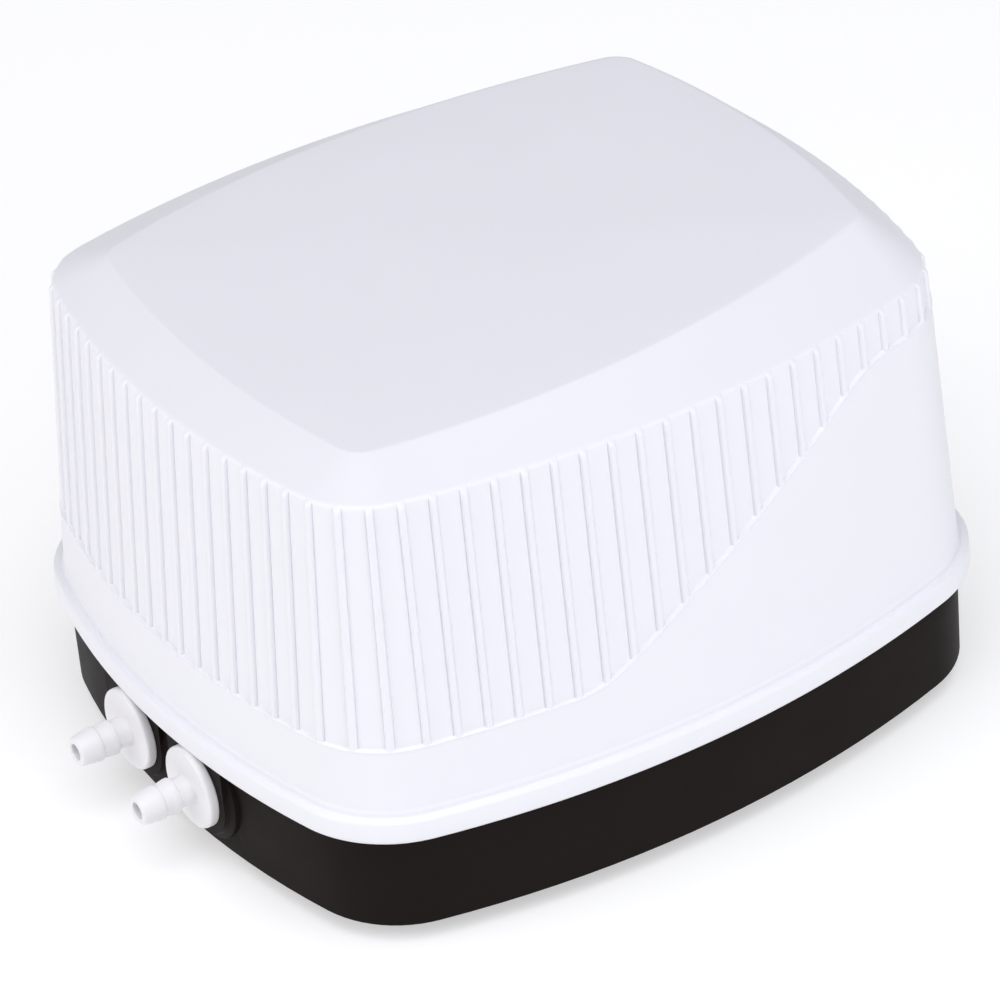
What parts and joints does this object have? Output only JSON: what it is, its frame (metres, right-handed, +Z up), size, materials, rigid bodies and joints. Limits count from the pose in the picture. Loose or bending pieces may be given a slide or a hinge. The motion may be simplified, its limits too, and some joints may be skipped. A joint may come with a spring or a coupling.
{
  "type": "air pump",
  "caption": "Box-shaped aquarium air pump: ribbed white cover on a black base tray, barbed air outlets at the front, magnet-driven diaphragm heads inside.",
  "frame": {"origin": "centre of the whole object's box, at the underside of the rubber feet", "axes": "+Z up; +Y to the rear, away from the air outlets; +X to the right when facing the rear"},
  "size_m": [0.1226, 0.1482, 0.0866],
  "materials": {
    "cover_white": "moulded ABS, satin gloss",
    "tray_black": "moulded ABS, satin black",
    "nozzle_white": "moulded ABS, smooth",
    "rubber_black": "soft moulded rubber",
    "silicone_tube": "milky silicone tube",
    "zinc_steel": "zinc plated",
    "lamination_steel": "stacked silicon steel, varnished",
    "ferrite_magnet": "sintered ferrite",
    "copper_enamel": "enamelled copper wire",
    "nylon_natural": "natural nylon",
    "arm_nylon": "glass filled nylon",
    "head_grey": "moulded acetal",
    "lead_red": "insulated lead",
    "felt_grey": "needle felt"
  },
  "bodies": {
    "housing": {"air_tube_left": "silicone_tube", "air_tube_right": "silicone_tube", "base_tray": "tray_black", "clamp_ring_left": "head_grey", "clamp_ring_right": "head_grey", "coil_bobbin": "nylon_natural", "coil_leads": "lead_red", "coil_winding": "copper_enamel", "cord_gland": "rubber_black", "core_clamp_left": "zinc_steel", "core_clamp_right": "zinc_steel", "core_screws": "zinc_steel", "core_stack_left": "lamination_steel", "core_stack_right": "lamination_steel", "cover_screws": "zinc_steel", "cover_shell": "cover_white", "diaphragm_left": "rubber_black", "diaphragm_right": "rubber_black", "filter_cap": "tray_black", "filter_felt": "felt_grey", "head_cover_left": "head_grey", "head_cover_right": "head_grey", "head_screws_left": "zinc_steel", "head_screws_right": "zinc_steel", "mount_plate": "zinc_steel", "mount_screws": "zinc_steel", "nozzle_seal_left": "rubber_black", "nozzle_seal_right": "rubber_black", "outlet_nozzle_left": "nozzle_white", "outlet_nozzle_right": "nozzle_white", "pivot_bracket_left": "zinc_steel", "pivot_bracket_right": "zinc_steel", "pivot_pin_left": "zinc_steel", "pivot_pin_right": "zinc_steel", "pump_head_left": "head_grey", "pump_head_right": "head_grey", "rubber_feet": "rubber_black", "rubber_mounts": "rubber_black", "terminal_block": "nylon_natural"},
    "rocker_right": {"arm_right": "arm_nylon", "arm_magnet_right": "ferrite_magnet", "diaphragm_washer_right": "zinc_steel", "diaphragm_screw_right": "zinc_steel"},
    "inlet_flap_body_right": {"inlet_flap_right": "rubber_black"},
    "outlet_flap_body_right": {"outlet_flap_right": "rubber_black"},
    "rocker_left": {"arm_left": "arm_nylon", "arm_magnet_left": "ferrite_magnet", "diaphragm_washer_left": "zinc_steel", "diaphragm_screw_left": "zinc_steel"},
    "inlet_flap_body_left": {"inlet_flap_left": "rubber_black"},
    "outlet_flap_body_left": {"outlet_flap_left": "rubber_black"}
  },
  "joints": [
    {"name": "arm_right_swing", "type": "hinge", "parent": "housing", "child": "rocker_right", "pos_m": [0.0355, 0.0389, 0.036], "axis": [0, 0, 1], "range_deg": [-2, 2], "stiffness_Nm_per_rad": 1, "deforming": ["diaphragm_right"]},
    {"name": "inlet_flap_right_lift", "type": "hinge", "parent": "housing", "child": "inlet_flap_body_right", "pos_m": [0.0462, 0.0123, 0.036], "axis": [0, 0, 1], "range_deg": [0, 12], "stiffness_Nm_per_rad": 0.00001},
    {"name": "outlet_flap_right_lift", "type": "hinge", "parent": "housing", "child": "outlet_flap_body_right", "pos_m": [0.0476, 0.0055, 0.036], "axis": [0, 0, 1], "range_deg": [0, 12], "stiffness_Nm_per_rad": 0.00001},
    {"name": "arm_left_swing", "type": "hinge", "parent": "housing", "child": "rocker_left", "pos_m": [-0.0355, 0.0389, 0.036], "axis": [0, 0, 1], "range_deg": [-2, 2], "stiffness_Nm_per_rad": 1, "deforming": ["diaphragm_left"]},
    {"name": "inlet_flap_left_lift", "type": "hinge", "parent": "housing", "child": "inlet_flap_body_left", "pos_m": [-0.0462, 0.0123, 0.036], "axis": [0, 0, 1], "range_deg": [-12, 0], "stiffness_Nm_per_rad": 0.00001},
    {"name": "outlet_flap_left_lift", "type": "hinge", "parent": "housing", "child": "outlet_flap_body_left", "pos_m": [-0.0476, 0.0055, 0.036], "axis": [0, 0, 1], "range_deg": [-12, 0], "stiffness_Nm_per_rad": 0.00001}
  ],
  "couplings": [
    {"joint": "arm_left_swing", "follows": "arm_right_swing", "ratio": -1}
  ]
}
